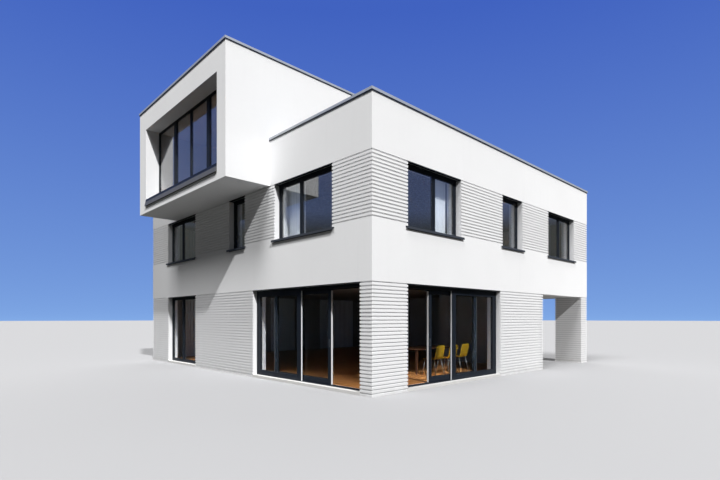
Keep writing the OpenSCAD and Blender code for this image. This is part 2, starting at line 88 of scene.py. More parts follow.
# The second colour is painted shade along the foot of the copings
ZINC, COPING_FOOT_SHADE = (0.48, 0.51, 0.55), (0.014, 0.018, 0.030)
VENT_METAL, STEEL, PALE_METAL = (0.45, 0.47, 0.49), (0.42, 0.43, 0.44), (0.72, 0.73, 0.74)
RUBBER = (0.012, 0.012, 0.013)
OAK, OAK_GRAIN, OAK_PALE = (0.54, 0.236, 0.072), (0.30, 0.11, 0.03), (0.62, 0.30, 0.10)
TABLE_BROWN, TABLE_GRAIN = (0.075, 0.030, 0.013), (0.040, 0.017, 0.008)
STONE, STONE_SPECKS = (0.70, 0.69, 0.67), (0.35, 0.34, 0.33)
# The third colour is painted shade in the gaps between the pebbles
DARK_PEBBLES, PALE_PEBBLES, PEBBLE_GAP_SHADE = (0.15, 0.14, 0.13), (0.33, 0.32, 0.30), (0.09, 0.085, 0.08)
NET_WHITE, NET_THREADS = (0.70, 0.71, 0.72), (0.52, 0.53, 0.55)
SHELL_YELLOW = (0.66, 0.40, 0.02)
# The floor as seen, as mirrored, and as it colours the light that it gives back
FLOOR_SEEN = (0.40, 0.40, 0.41)
FLOOR_MIRRORED = (0.020, 0.023, 0.019)
FLOOR_GIVEN = (0.055, 0.055, 0.053)
FLOOR_GIVEN_BY_BAY = (0.29, 0.28, 0.27)
# The stretch of floor beside the bay: where it begins along X and ends along Y
BAY_FLOOR_FROM, BAY_FLOOR_TO = (1.0, 3.0), (-4.5, -2.5)

# Panes: their colour, the colour and strength of what they mirror, and the strength where they are coated
WINDOW_TINT, DOOR_TINT = (0.84, 0.88, 0.90), (0.72, 0.76, 0.77)
MIRROR_TINT, GLASS_IOR, COATING_IOR = (0.7, 0.8, 0.9), 1.14, 1.9

# The two-storey body: half its length and depth, and the thickness of its walls
HALF_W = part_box("front_floor_band")[1].x
HALF_D = -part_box("front_floor_band")[0].y
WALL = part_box("front_floor_band")[1].y + HALF_D
# Heights: sills and heads of the windows, the foot of the copings and the band of painted shade above it,
# the box's sill sheet and the band of painted shade along its top
UPPER_SILL, UPPER_HEAD = 3.750, 64 / 12
REAR_SILL, GROUND_HEAD = 0.950, 2.500
ROOF_EDGE, BOX_EDGE, COPING_FOOT_SHADE_HEIGHT = 6.552, 8.831, 0.030
BOX_SILL_TOP, SILL_TOP_SHADE_HEIGHT = 5.790, 0.090
# Ribs of the walls: how many a metre, the groove's share of each, and how much shade is painted into the
# grooves on the walls and in the bay
COURSES_A_METRE, GROOVE_SHARE = 12.0, 0.396
WALL_GROOVE_SHADE, BAY_GROOVE_SHADE = 0.10, 0.40
# Splash grey at the foot of the walls, and the skin of sheet metal
SPLASH_HEIGHT, SPLASH_SHARE = 0.28, 0.22
METAL_MOTTLE, SHEET_ROUGHNESS = 2.2, 0.42


# Node helpers
def feed(tree, node, inputs):
    """Puts numbers, colours and the outputs of other nodes into a node's sockets."""
    for key, value in inputs.items():
        if isinstance(value, (int, float)):
            node.inputs[key].default_value = value
        elif isinstance(value, tuple):
            node.inputs[key].default_value = (*value, 1.0)
        else:
            tree.links.new(value, node.inputs[key])


def add_node(tree, kind, inputs=None, **settings):
    """A node with its settings and with what goes into its sockets."""
    node = tree.nodes.new(kind)
    for key, value in settings.items():
        setattr(node, key, value)
    feed(tree, node, inputs or {})
    return node


def math_node(tree, operation, *values):
    return add_node(tree, "ShaderNodeMath", dict(enumerate(values)), operation=operation).outputs[0]


def math_chain(tree, operation, first, *others):
    """The same operation over several values, one after another."""
    for value in others:
        first = math_node(tree, operation, first, value)
    return first


def ramp(tree, value, low, high, out_low=0.0, out_high=1.0):
    """A value carried from one stretch to another and held at the ends."""
    inputs = {"Value": value, "From Min": low, "From Max": high, "To Min": out_low, "To Max": out_high}
    return add_node(tree, "ShaderNodeMapRange", inputs, clamp=True).outputs[0]


def mix_color(tree, factor, a, b):
    return add_node(tree, "ShaderNodeMix", {"Factor": factor, 6: a, 7: b}, data_type="RGBA").outputs[2]


def noise(tree, vector, scale, detail=4.0, roughness=0.55):
    inputs = {"Vector": vector, "Scale": scale, "Detail": detail, "Roughness": roughness}
    return add_node(tree, "ShaderNodeTexNoise", inputs).outputs["Fac"]


def stretched(tree, vector, scale):
    node = add_node(tree, "ShaderNodeVectorMath", {0: vector}, operation="MULTIPLY")
    node.inputs[1].default_value = scale
    return node.outputs[0]


def position(tree):
    return add_node(tree, "ShaderNodeTexCoord").outputs["Object"]


def axes(tree, vector):
    """The x, y and z of a vector."""
    return add_node(tree, "ShaderNodeSeparateXYZ", {0: vector}).outputs


def depth_inside(tree, value, half, middle=0.0):
    """How deep a value lies inside a stretch with this half length and middle, negative outside it."""
    off = math_node(tree, "ABSOLUTE", math_node(tree, "SUBTRACT", value, middle))
    return math_node(tree, "SUBTRACT", half, off)


def new_group(name, inputs, output):
    """A node group with named inputs and one output, and its two end nodes."""
    group = bpy.data.node_groups.new(name, "ShaderNodeTree")
    for label, kind, value in inputs:
        socket = group.interface.new_socket(name=label, in_out="INPUT", socket_type=kind)
        socket.default_value = value
    label, kind = output
    group.interface.new_socket(name=label, in_out="OUTPUT", socket_type=kind)
    return group, group.nodes.new("NodeGroupInput"), group.nodes.new("NodeGroupOutput")


def place_group(tree, group, **inputs):
    return add_node(tree, "ShaderNodeGroup", inputs, node_tree=group).outputs[0]


# Effects that several materials share
def make_grain_group():
    """Fine even grain, as a height."""
    group, start, end = new_group("fine_grain", [("Scale", "NodeSocketFloat", 60.0)],
                                  ("Height", "NodeSocketFloat"))
    feed(group, end, {"Height": noise(group, position(group), start.outputs["Scale"], 3.0, 0.5)})
    return group


def make_mottle_group():
    """A colour made a little lighter and darker in wide soft patches and in small ones."""
    group, start, end = new_group(
        "soft_mottle",
        [("Color", "NodeSocketColor", (0.8, 0.8, 0.8, 1.0)), ("Amount", "NodeSocketFloat", 0.05),
         ("Scale", "NodeSocketFloat", 0.8)],
        ("Color", "NodeSocketColor"))
    wide = noise(group, position(group), start.outputs["Scale"], 5.0, 0.5)
    small = noise(group, position(group), 14.0, 3.0)
    wide_share = 0.75
    both = math_node(group, "ADD", math_node(group, "MULTIPLY", wide, wide_share),
                     math_node(group, "MULTIPLY", small, 1.0 - wide_share))
    centred = math_node(group, "SUBTRACT", both, 0.5)
    change = math_chain(group, "MULTIPLY", centred, start.outputs["Amount"], 2.0)
    inputs = {0: start.outputs["Color"], "Scale": math_node(group, "ADD", change, 1.0)}
    scaled = add_node(group, "ShaderNodeVectorMath", inputs, operation="SCALE")
    feed(group, end, {"Color": scaled.outputs[0]})
    return group


def make_streak_group():
    """Narrow upright streaks that rain leaves, as a mask."""
    group, start, end = new_group("rain_streaks", [("Amount", "NodeSocketFloat", 0.5)],
                                  ("Mask", "NodeSocketFloat"))
    streaks = noise(group, stretched(group, position(group), (9.0, 9.0, 0.5)), 1.0, 4.0)
    patches = noise(group, position(group), 0.5, 2.0)
    mask = math_chain(group, "MULTIPLY", ramp(group, streaks, 0.55, 0.80), ramp(group, patches, 0.45, 0.65),
                      start.outputs["Amount"])
    feed(group, end, {"Mask": mask})
    return group


def make_inside_group():
    """1 on faces inside the rooms, 0 outside and in the covered bay."""
    group, _, end = new_group("inside_rooms", [], ("Mask", "NodeSocketFloat"))
    x, y, z = axes(group, position(group))
    bay, window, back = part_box("bay_walls"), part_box("box_window"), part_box("box_back_wall")
    margin = 0.005
    past_bay = math_chain(
        group, "MAXIMUM",
        math_node(group, "SUBTRACT", bay[0].x + margin, x),
        math_node(group, "SUBTRACT", y, bay[1].y - margin),
        math_node(group, "SUBTRACT", z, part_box("first_floor_slab")[1].z - margin))
    body = math_chain(
        group, "MINIMUM",
        depth_inside(group, x, HALF_W - WALL + margin),
        depth_inside(group, y, HALF_D - WALL + margin),
        math_node(group, "SUBTRACT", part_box("roof_slab")[0].z + 2 * margin, z),
        past_bay)
    middle, half = (window[0].y + window[1].y) / 2, (window[1].y - window[0].y) / 2
    box = math_chain(
        group, "MINIMUM",
        depth_inside(group, y, half + margin, middle),
        math_node(group, "SUBTRACT", x, window[1].x - 4 * margin),
        math_node(group, "SUBTRACT", back[0].x + margin, x),
        math_node(group, "SUBTRACT", z, window[0].z - 2 * margin),
        math_node(group, "SUBTRACT", window[1].z + margin, z))
    inside = math_node(group, "MAXIMUM", body, box)
    feed(group, end, {"Mask": math_node(group, "GREATER_THAN", inside, 0.0)})
    return group


def make_groove_shade_group():
    """Painted shade in the grooves between the ribs, stronger in the bay, and 0 on ribs and smooth bands."""
    group, _, end = new_group("painted_groove_shade", [], ("Painted Shade", "NodeSocketFloat"))
    x, y, z = axes(group, position(group))
    soft_edge, bay_margin, band_margin = 0.04, 0.2, 0.002
    drop = math_node(group, "MULTIPLY", math_node(group, "SUBTRACT", GROUND_HEAD, z), COURSES_A_METRE)
    groove = ramp(group, math_node(group, "FRACT", drop), GROOVE_SHARE - soft_edge,
                  GROOVE_SHARE + soft_edge, 1.0, 0.0)
    inset = math_node(group, "MINIMUM", depth_inside(group, x, HALF_W), depth_inside(group, y, HALF_D))
    past_face = ramp(group, inset, 0.004, 0.010)
    before_back = ramp(group, inset, 0.030, 0.036, 1.0, 0.0)
    low = math_node(group, "LESS_THAN", z, GROUND_HEAD - band_margin)
    high = math_node(group, "MULTIPLY", math_node(group, "GREATER_THAN", z, UPPER_SILL + band_margin),
                     math_node(group, "LESS_THAN", z, UPPER_HEAD - band_margin))
    on_walls = math_chain(group, "MULTIPLY", past_face, before_back, math_node(group, "MAXIMUM", low, high),
                          WALL_GROOVE_SHADE)
    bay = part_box("bay_walls")
    in_bay = math_chain(
        group, "MULTIPLY",
        math_node(group, "GREATER_THAN", x, bay[0].x + bay_margin),
        math_node(group, "LESS_THAN", y, bay[1].y - bay_margin),
        low, BAY_GROOVE_SHADE)
    there = math_node(group, "MAXIMUM", on_walls, in_bay)
    feed(group, end, {"Painted Shade": math_node(group, "MULTIPLY", groove, there)})
    return group


GRAIN = make_grain_group()
MOTTLE = make_mottle_group()
STREAKS = make_streak_group()
INSIDE = make_inside_group()
GROOVE_SHADE_GROUP = make_groove_shade_group()


def new_material(name):
    material = bpy.data.materials.new(name)
    material.use_nodes = True
    tree = material.node_tree
    return material, tree, tree.nodes["Principled BSDF"]


def add_bump(tree, shader, height, strength, distance):
    bump = add_node(tree, "ShaderNodeBump", {"Height": height, "Strength": strength, "Distance": distance})
    feed(tree, shader, {"Normal": bump.outputs[0]})


def add_grain(tree, shader, scale, strength, distance):
    add_bump(tree, shader, place_group(tree, GRAIN, Scale=scale), strength, distance)


def mottled(tree, color, amount, scale):
    """A colour with soft patches, which are smaller at a higher scale."""
    return place_group(tree, MOTTLE, Color=color, Amount=amount, Scale=scale)


def add_metal_skin(tree, shader, roughness, grain_scale):
    """Gloss that changes in soft patches, and a fine grain."""
    patches = noise(tree, position(tree), 3.0, 5.0)
    uneven = ramp(tree, patches, 0.3, 0.7, roughness - 0.06, roughness + 0.08)
    feed(tree, shader, {"Roughness": uneven})
    add_grain(tree, shader, grain_scale, 0.12, 0.001)


def is_mirrored(tree, path):
    """1 for a ray that has been mirrored, also after it has left the pane that mirrored it."""
    return math_node(tree, "GREATER_THAN", path.outputs["Glossy Depth"], 0.5)


def coat_material():
    """White render: fine felted grain, soft patches, faint streaks, a little splash grey at the foot, and
    painted shade in the grooves.
    """
    material, tree, shader = new_material("white_render_coat")
    streaks = place_group(tree, STREAKS, Amount=0.10)
    color = mix_color(tree, streaks, mottled(tree, COAT, 0.045, 0.7), STREAK_GREY)
    splash = ramp(tree, axes(tree, position(tree))[2], 0.0, SPLASH_HEIGHT, SPLASH_SHARE, 0.0)
    rough_edge = ramp(tree, noise(tree, position(tree), 7.0), 0.35, 0.65)
    color = mix_color(tree, math_node(tree, "MULTIPLY", splash, rough_edge), color, SPLASH_GREY)
    # Painted shade: the grooves between the ribs are darkened
    groove = math_node(tree, "MULTIPLY", place_group(tree, GROOVE_SHADE_GROUP), 0.6)
    color = mix_color(tree, groove, color, GROOVE_PAINTED_SHADE)
    # Faces inside the rooms take the inside paint, darkened as painted shade
    color = mix_color(tree, place_group(tree, INSIDE), color, INSIDE_PAINT_AND_SHADE)
    feed(tree, shader, {"Base Color": color, "Roughness": 0.88, "Specular IOR Level": 0.25})
    add_grain(tree, shader, 140.0, 0.35, 0.004)
    return material


def plaster_material():
    """Grey trowelled plaster on the slabs: soffits and ceilings."""
    material, tree, shader = new_material("ceiling_plaster")
    # Ceilings inside the rooms take the inside paint, darkened as painted shade
    color = mix_color(tree, place_group(tree, INSIDE), mottled(tree, PLASTER, 0.05, 1.2), INSIDE_PAINT_AND_SHADE)
    feed(tree, shader, {"Base Color": color, "Roughness": 0.9})
    add_grain(tree, shader, 90.0, 0.3, 0.003)
    return material


def metal_material(name, color, metallic, roughness, grain_scale, mottle_amount, gloss=0.5):
    """Coated or bare sheet metal with soft patches and a fine skin."""
    material, tree, shader = new_material(name)
    color = mottled(tree, color, mottle_amount, METAL_MOTTLE)
    feed(tree, shader, {"Base Color": color, "Metallic": metallic, "Specular IOR Level": gloss})
    add_metal_skin(tree, shader, roughness, grain_scale)
    return material


def coping_material():
    """Weathered zinc sheet, with a band of painted shade along the foot of each coping."""
    material, tree, shader = new_material("weathered_zinc")
    z, half, slack = axes(tree, position(tree))[2], COPING_FOOT_SHADE_HEIGHT / 2, 0.0005
    # Painted shade: a dark, less metallic band along the foot of the roof's and the box's copings
    rail = math_node(tree, "MAXIMUM", *(
        math_node(tree, "COMPARE", z, foot + half, half - slack) for foot in (ROOF_EDGE, BOX_EDGE)))
    color = mix_color(tree, rail, mottled(tree, ZINC, 0.18, METAL_MOTTLE), COPING_FOOT_SHADE)
    metallic = math_node(tree, "SUBTRACT", 0.30, math_node(tree, "MULTIPLY", rail, 0.2))
    feed(tree, shader, {"Base Color": color, "Metallic": metallic})
    add_metal_skin(tree, shader, SHEET_ROUGHNESS, 120.0)
    return material


def sill_material():
    """Coated sill sheet. The box's deep sill has a band of painted shade along its top edge."""
    material, tree, shader = new_material("sill_sheet")
    z = axes(tree, position(tree))[2]
    on_box = math_node(tree, "GREATER_THAN", z, UPPER_HEAD)
    # Painted shade: a dark band along the top of the box's sill
    sill_top_shade = math_node(tree, "GREATER_THAN", z, BOX_SILL_TOP - SILL_TOP_SHADE_HEIGHT)
    color = mix_color(tree, on_box, mottled(tree, SILL_METAL, 0.10, METAL_MOTTLE), BOX_SILL_METAL)
    color = mix_color(tree, sill_top_shade, color, SILL_TOP_SHADE)
    feed(tree, shader, {"Base Color": color, "Specular IOR Level": 0.2})
    add_metal_skin(tree, shader, SHEET_ROUGHNESS, 300.0)
    return material


def plain_material(name, color, mottle_amount, mottle_scale, roughness, *grain):
    """One colour with soft patches. A grain is its scale, strength and distance."""
    material, tree, shader = new_material(name)
    color = mottled(tree, color, mottle_amount, mottle_scale)
    feed(tree, shader, {"Base Color": color, "Roughness": roughness})
    if grain:
        add_grain(tree, shader, *grain)
    return material


def stone_material():
    """Pale speckled stone of the thresholds."""
    material, tree, shader = new_material("threshold_stone")
    specks = ramp(tree, noise(tree, position(tree), 160.0, 2.0), 0.60, 0.70)
    faint = math_node(tree, "MULTIPLY", specks, 0.4)
    color = mix_color(tree, faint, mottled(tree, STONE, 0.12, 5.0), STONE_SPECKS)
    feed(tree, shader, {"Base Color": color, "Roughness": 0.6})
    add_grain(tree, shader, 200.0, 0.2, 0.002)
    return material


def gravel_material():
    """Washed pebbles on the flat roof, with painted shade in the gaps between them."""
    material, tree, shader = new_material("roof_gravel_bed")
    cells = add_node(tree, "ShaderNodeTexVoronoi", {"Scale": 22.0, "Vector": position(tree)}, feature="F1")
    hue = add_node(tree, "ShaderNodeSeparateColor", {0: cells.outputs["Color"]}).outputs[0]
    pebbles = mottled(tree, mix_color(tree, hue, DARK_PEBBLES, PALE_PEBBLES), 0.15, 0.6)
    # Painted shade: darker towards the gaps between the pebbles
    gap_shade = ramp(tree, cells.outputs["Distance"], 0.25, 0.6, 0.0, 0.75)
    color = mix_color(tree, gap_shade, pebbles, PEBBLE_GAP_SHADE)
    feed(tree, shader, {"Base Color": color, "Roughness": 0.9})
    height = math_node(tree, "SUBTRACT", 1.0, cells.outputs["Distance"])
    add_bump(tree, shader, height, 0.9, 0.03)
    return material


def wood_grain(tree, along, across):
    """Noise drawn out along X, where a higher number is finer."""
    return noise(tree, stretched(tree, position(tree), (along, across, across)), 3.0, 6.0, 0.6)


def oil_wood(tree, shader, color, grain, smooth, rough):
    feed(tree, shader, {"Base Color": color, "Roughness": ramp(tree, grain, 0.3, 0.7, smooth, rough)})
    add_bump(tree, shader, grain, 0.15, 0.001)


def oak_material():
    """Oiled floor boards: each board has its own tone, with grain along it."""
    material, tree, shader = new_material("oiled_oak")
    attribute = add_node(tree, "ShaderNodeAttribute", attribute_name="board_tone")
    grain = wood_grain(tree, 2.0, 30.0)
    dark = mix_color(tree, ramp(tree, grain, 0.35, 0.70), OAK, OAK_GRAIN)
    tone = ramp(tree, attribute.outputs["Fac"], 0.0, 1.0, 0.0, 0.45)
    oil_wood(tree, shader, mix_color(tree, tone, dark, OAK_PALE), grain, 0.28, 0.42)
    return material


def table_material():
    """Oiled dark wood with its grain along X."""
    material, tree, shader = new_material("table_wood")
    grain = wood_grain(tree, 1.5, 24.0)
    color = mix_color(tree, ramp(tree, grain, 0.35, 0.68), TABLE_BROWN, TABLE_GRAIN)
    oil_wood(tree, shader, color, grain, 0.36, 0.50)
    return material


def net_material():
    """Fine pale net with a plain weave."""
    material, tree, shader = new_material("net_curtain_cloth")
    weave = add_node(tree, "ShaderNodeTexWave", {"Scale": 260.0, "Vector": position(tree)},
                     wave_type="BANDS", bands_direction="Z").outputs["Fac"]
    threads = noise(tree, stretched(tree, position(tree), (420.0, 420.0, 30.0)), 1.0, 2.0)
    shade = math_node(tree, "MULTIPLY", weave, 0.12)
    color = mix_color(tree, shade, mottled(tree, NET_WHITE, 0.05, 2.0), NET_THREADS)
    feed(tree, shader, {"Base Color": color, "Roughness": 0.9, "Sheen Weight": 0.2})
    add_bump(tree, shader, math_node(tree, "ADD", weave, threads), 0.2, 0.0005)
    return material


def glass_material(name, tint, coated_from=None):
    """Clear sealed unit, slightly coloured. Above a height it has a coating that mirrors more."""
    material, tree, shader = new_material(name)
    feed(tree, shader, {"Base Color": tint, "Transmission Weight": 1.0, "Roughness": 0.0, "IOR": GLASS_IOR,
                        "Specular Tint": MIRROR_TINT})
    waves = noise(tree, position(tree), 0.9, 1.0)
    add_bump(tree, shader, waves, 0.02, 0.02)
    if coated_from:
        coated = math_node(tree, "GREATER_THAN", axes(tree, position(tree))[2], coated_from)
        feed(tree, shader, {"Coat Weight": coated, "Coat Roughness": 0.0, "Coat IOR": COATING_IOR})
    path = add_node(tree, "ShaderNodeLightPath")
    let_through = math_node(tree, "MULTIPLY", path.outputs["Is Shadow Ray"], DAYLIGHT_SHARE)
    feed(tree, shader, {"Alpha": math_node(tree, "SUBTRACT", 1.0, let_through)})
    return material


def floor_material():
    """Pale floor. It looks pale, but gives only a little light back, and more beside the bay."""
    material, tree, shader = new_material("studio_floor")
    path = add_node(tree, "ShaderNodeLightPath")
    seen = math_node(tree, "MAXIMUM", path.outputs["Is Camera Ray"], path.outputs["Is Transmission Ray"])
    x, y, _ = axes(tree, position(tree))
    by_bay = math_node(tree, "MULTIPLY", ramp(tree, x, *BAY_FLOOR_FROM),
                       ramp(tree, y, *BAY_FLOOR_TO, 1.0, 0.0))
    given = mix_color(tree, by_bay, FLOOR_GIVEN, FLOOR_GIVEN_BY_BAY)
    color = mix_color(tree, seen, given, FLOOR_SEEN)
    color = mix_color(tree, is_mirrored(tree, path), color, FLOOR_MIRRORED)
    feed(tree, shader, {"Base Color": color, "Roughness": 1.0, "Specular IOR Level": 0.0})
    return material


FINISHES = {
    "white_render": coat_material(),
    "grey_plaster": plaster_material(),
    "roof_gravel": gravel_material(),
    "pale_stone": stone_material(),
    "parquet": oak_material(),
    "frame_metal": metal_material("dark_powder_coat", DARK_METAL, 0.0, 0.50, 400.0, 0.10, 0.15),
    "sill_metal": sill_material(),
    "coping_metal": coping_material(),
    "vent_metal": metal_material("vent_sheet", VENT_METAL, 0.7, 0.40, 150.0, 0.15),
    "pane_glass": glass_material("window_glass", WINDOW_TINT, GROUND_HEAD),
}
DOOR_GLASS = glass_material("door_glass", DOOR_TINT)
LINING_PAINT = plain_material("lining_paint", LINING, 0.04, 1.5, 0.6, 200.0, 0.2, 0.001)
PALE_EDGE = metal_material("pale_edge_profile", PALE_METAL, 0.0, 0.35, 400.0, 0.05)
BRUSHED = metal_material("brushed_steel", STEEL, 0.9, 0.36, 500.0, 0.08)
SEAL = plain_material("seal_rubber", RUBBER, 0.2, 6.0, 0.7)
NET = net_material()
TABLE_WOOD = table_material()
YELLOW_SHELL = plain_material("yellow_moulded_shell", SHELL_YELLOW, 0.06, 3.0, 0.42, 600.0, 0.15, 0.0006)


def dress_cad_nodes():
    for part in frame["record"]["subparts"]:
        node = nodes[part["node"]]
        node.data.materials.clear()
        node.data.materials.append(FINISHES[part["material_slot"]])
    for name in ("front_leaf_glass", "left_leaf_glass"):
        nodes[name].data.materials[0] = DOOR_GLASS


# Sizes in metres. Along a wall they start at its front corner, or at the left one on the front and back.
# A window is its start, its width and where its middle post is, or 0 without one
FRONT_WINDOWS = ((1.180, 2.140, 1.190), (5.450, 1.200, 0.0), (8.480, 2.140, 1.190))
LEFT_WINDOWS = ((1.320, 2.430, 1.430), (5.325, 0.945, 0.0), (8.700, 2.430, 1.430))
FLOOR_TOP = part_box("floor_slab")[1].z
UPPER_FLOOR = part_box("first_floor_slab")[1].z
UPPER_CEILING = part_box("roof_slab")[0].z
ROOF_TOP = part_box("roof_slab")[1].z
BOARD_THICK = 0.010
BOARDS_TOP = FLOOR_TOP + BOARD_THICK
GROUND_CEILING = 2.700

# Windows
REVEAL, FRAME_DEEP, FRAME_WIDE, SASH_WIDE = 0.165, 0.070, 0.055, 0.045
PANE_THICK = 0.024
COVER_THICK = 0.020
LINING_END = WALL + 0.075

# Doors: where the opening starts and ends, and where the fixed light and the leaf start
Door = namedtuple("Door", "start end fixed_start leaf_start leaf_length")
DOOR_REVEAL = 0.140
FRONT_DOOR = Door(1.180, 5.320, 3.120, 2.235, 2.150)
LEFT_DOOR = Door(0.380, 4.870, 2.735, 1.620, 2.430)
FIXED_FACE, FIXED_BACK = 0.148, 0.210
LEAF_FACE, LEAF_BACK = 0.225, 0.290
STILE_WIDE, MEETING_WIDE, TOP_RAIL, BOTTOM_RAIL = 0.115, 0.170, 0.090, 0.125
FIXED_BOTTOM, DOOR_TOP = 0.080, 2.410
LEAF_BOTTOM, LEAF_TOP = 0.086, 2.404

# Box window
BOX_OUT, BOX_RECESS = 1.316, 0.440
BOX_START, BOX_END = 4.443, 9.680
BOX_POST, BOX_POST_WIDE, BOX_MIDDLE_WIDE = 1.190, 0.200, 0.090
BOX_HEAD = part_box("box_window")[1].z


# Places on each side: u along the wall, v into it, z up
def on_front(u, v, z):
    return Vector((u - HALF_W, v - HALF_D, z))


def on_left(u, v, z):
    return Vector((v - HALF_W, u - HALF_D, z))


def on_back(u, v, z):
    return Vector((u - HALF_W, HALF_D - v, z))


def on_right(u, v, z):
    return Vector((HALF_W - v, u - HALF_D, z))


def on_box(u, v, z):
    return Vector((v - BOX_OUT - HALF_W, u - HALF_D, z))


DOORS = (("front", on_front, FRONT_DOOR), ("left", on_left, LEFT_DOOR))
# Rows of windows: a place on a side, the windows along it, their sill and their head
WINDOW_ROWS = {
    "front": [(on_front, FRONT_WINDOWS, UPPER_SILL, UPPER_HEAD)],
    "left": [(on_left, LEFT_WINDOWS, UPPER_SILL, UPPER_HEAD)],
    "left_ground": [(on_left, LEFT_WINDOWS[2:], FLOOR_TOP, GROUND_HEAD)],
    "back": [(on_back, FRONT_WINDOWS, UPPER_SILL, UPPER_HEAD),
             (on_back, FRONT_WINDOWS, REAR_SILL, GROUND_HEAD)],
    "right": [(on_right, LEFT_WINDOWS, UPPER_SILL, UPPER_HEAD),
              (on_right, LEFT_WINDOWS[1:], REAR_SILL, GROUND_HEAD)],
}


def window_panes(windows, low, high):
    """The clear openings of a row of windows, as start, end, bottom and top."""
    rim = FRAME_WIDE + SASH_WIDE
    panes = []
    for start, width, post in windows:
        edges = [start + rim, start + width - rim]
        if post:
            half_post = FRAME_WIDE / 4 + SASH_WIDE
            edges[1:1] = [start + post - half_post, start + post + half_post]
        for left, right in zip(edges[::2], edges[1::2]):
            panes.append((left, right, low + rim, high - rim))
    return panes


def box_panes():
    middle = (BOX_START + BOX_END) / 2
    low, high = ROOF_TOP + FRAME_WIDE + SASH_WIDE, BOX_HEAD - FRAME_WIDE
    half_post, half_middle = BOX_POST_WIDE / 2, BOX_MIDDLE_WIDE / 2
    return [
        (BOX_START + FRAME_WIDE, middle - BOX_POST - half_post, low, high),
        (middle - BOX_POST + half_post, middle - half_middle, low, high),
        (middle + half_middle, middle + BOX_POST - half_post, low, high),
        (middle + BOX_POST + half_post, BOX_END - FRAME_WIDE, low, high),
    ]


def fixed_light(door):
    """The clear opening of a door's fixed light, as start, end, bottom and top."""
    return (door.fixed_start + MEETING_WIDE, door.end - FRAME_WIDE - STILE_WIDE,
            FIXED_BOTTOM + BOTTOM_RAIL, DOOR_TOP - TOP_RAIL)


def leaf_light(door):
    return (door.leaf_start + STILE_WIDE, door.leaf_start + door.leaf_length - STILE_WIDE,
            LEAF_BOTTOM + BOTTOM_RAIL, LEAF_TOP - TOP_RAIL)


# Mesh helpers
def put_in_scene(name, data):
    """A new object with this mesh, lamp or camera."""
    placed = bpy.data.objects.new(name, data)
    bpy.context.scene.collection.objects.link(placed)
    return placed


def make_piece(name, mesh, finish, body="house", smooth=False):
    bmesh.ops.recalc_face_normals(mesh, faces=mesh.faces)
    data = bpy.data.meshes.new(name)
    mesh.to_mesh(data)
    mesh.free()
    data.materials.append(finish)
    if smooth:
        data.shade_smooth()
    piece = put_in_scene(name, data)
    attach(piece, body)
    return piece


def join_loops(mesh, loops, closed=True, capped=False):
    """Skins between loops of points. A closed run joins the last loop to the first."""
    rows = [[mesh.verts.new(point) for point in loop] for loop in loops]
    count = len(rows[0])
    last = len(rows) if closed else len(rows) - 1
    for i in range(last):
        a, b = rows[i], rows[(i + 1) % len(rows)]
        for k in range(count):
            mesh.faces.new((a[k], a[(k + 1) % count], b[(k + 1) % count], b[k]))
    if capped:
        mesh.faces.new(rows[0])
        mesh.faces.new(rows[-1])


def join_rows(mesh, rows):
    """The faces of an open sheet, between rows of corners."""
    return [mesh.faces.new((a[k], a[k + 1], b[k + 1], b[k]))
            for a, b in zip(rows, rows[1:]) for k in range(len(a) - 1)]


def add_ring(mesh, place, opening, section):
    """A mitred ring round an opening. The section is (distance into the opening, depth) points."""
    left, right, low, high = opening
    corners = ((left, low, 1, 1), (right, low, -1, 1), (right, high, -1, -1), (left, high, 1, -1))
    join_loops(mesh, [[place(u + w * turn, v, z + w * rise) for w, v in section]
                      for u, z, turn, rise in corners])


def add_bar(mesh, place, start, end, section):
    """A straight bar along the wall, from (depth, height) points."""
    join_loops(mesh, [[place(u, v, z) for v, z in section] for u in (start, end)], False, True)


def add_post(mesh, place, low, high, section):
    """An upright bar, from (along the wall, depth) points."""
    join_loops(mesh, [[place(u, v, z) for u, v in section] for z in (low, high)], False, True)


def chamfered(x0, x1, y0, y1, cut):
    """A rectangle with its corners cut, as eight points."""
    return [(x0 + cut, y0), (x1 - cut, y0), (x1, y0 + cut), (x1, y1 - cut),
            (x1 - cut, y1), (x0 + cut, y1), (x0, y1 - cut), (x0, y0 + cut)]


def add_tube(mesh, start, end, radius, sides=10, end_radius=None):
    axis = (end - start).normalized()
    side = axis.orthogonal().normalized()
    across = axis.cross(side)
    loops = []
    for point, size in ((start, radius), (end, end_radius or radius)):
        turns = [2 * math.pi * k / sides for k in range(sides)]
        loops.append([point + size * (math.cos(t) * side + math.sin(t) * across) for t in turns])
    join_loops(mesh, loops, False, True)


def add_lathe(mesh, centre, profile, sides=32):
    """A turned shape, from (radius, height) points."""
    turns = [2 * math.pi * k / sides for k in range(sides)]
    round_about = [(math.cos(t), math.sin(t)) for t in turns]
    loops = [[centre + Vector((r * x, r * y, z)) for x, y in round_about] for r, z in profile]
    join_loops(mesh, loops, False, True)


# Seals and glazing beads
def add_seals(seals, beads, place, opening, pane_face, back):
    """A rubber seal on the outside of a pane, and the bead that holds it inside."""
    seals_at = pane_face + 0.0005
    add_ring(seals, place, opening, [
        (-0.001, seals_at), (-0.001, pane_face - 0.005), (0.003, pane_face - 0.006),
        (0.0065, pane_face - 0.003), (0.0065, seals_at)])
    pane_back = pane_face + PANE_THICK - 0.0005
    add_ring(beads, place, opening, [
        (-0.001, pane_back), (0.011, pane_back), (0.014, pane_back + 0.004),
        (0.012, back - 0.002), (-0.001, back - 0.001)])


def window_row(name, rows, depth):
    """Seals and beads for rows of windows, each row a place on a side with its panes."""
    seals, beads = bmesh.new(), bmesh.new()
    pane_face = depth + FRAME_DEEP / 2 - PANE_THICK / 2
    for place, panes in rows:
        for opening in panes:
            add_seals(seals, beads, place, opening, pane_face, depth + FRAME_DEEP)
    make_piece(name + "_seals", seals, SEAL)
    make_piece(name + "_beads", beads, FINISHES["frame_metal"])


